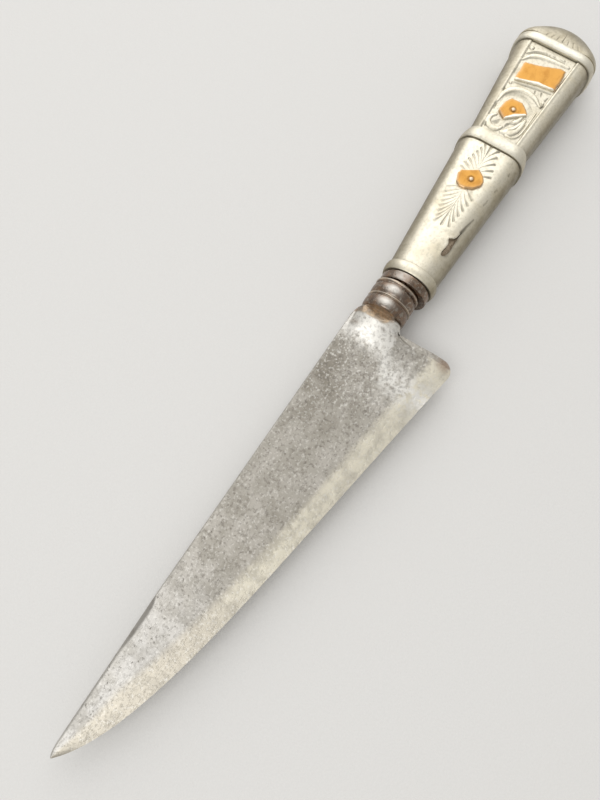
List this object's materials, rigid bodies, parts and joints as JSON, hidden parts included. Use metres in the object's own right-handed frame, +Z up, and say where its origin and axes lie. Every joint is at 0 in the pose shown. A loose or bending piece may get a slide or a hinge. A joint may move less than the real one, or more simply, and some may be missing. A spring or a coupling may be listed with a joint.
{
  "type": "small gaucho kitchen knife",
  "caption": "Fixed-blade kitchen knife: a wedge-shaped carbon-steel blade with a turned bolster, in a sheet nickel-silver handle with rings, engraving and gilt ornaments.",
  "frame": {"origin": "centre of the knife's bounding box, on the table that its handle rings rest on", "axes": "+X along the handle from the blade's tip to the pommel, +Y from the edge to the spine, +Z up out of the decorated front"},
  "size_m": [0.2468, 0.0364, 0.0161],
  "materials": {
    "forged_steel": "pitted carbon steel with a grey-brown patina",
    "nickel_silver": "worn, warm white nickel silver, a copper alloy",
    "gilt": "rubbed gilding on brass sheet",
    "pitch": "brown cutler's pitch"
  },
  "bodies": {
    "root": {"blade": "forged_steel", "handle_fill": "pitch", "throat_ring": "nickel_silver", "lower_sleeve": "nickel_silver", "middle_band": "nickel_silver", "upper_sleeve": "nickel_silver", "cap_ring": "nickel_silver", "pommel_dome": "nickel_silver", "lower_rosette": "gilt", "lower_rosette_pin": "gilt", "upper_rosette": "gilt", "upper_rosette_pin": "gilt", "gilt_plate": "gilt"}
  },
  "joints": []
}
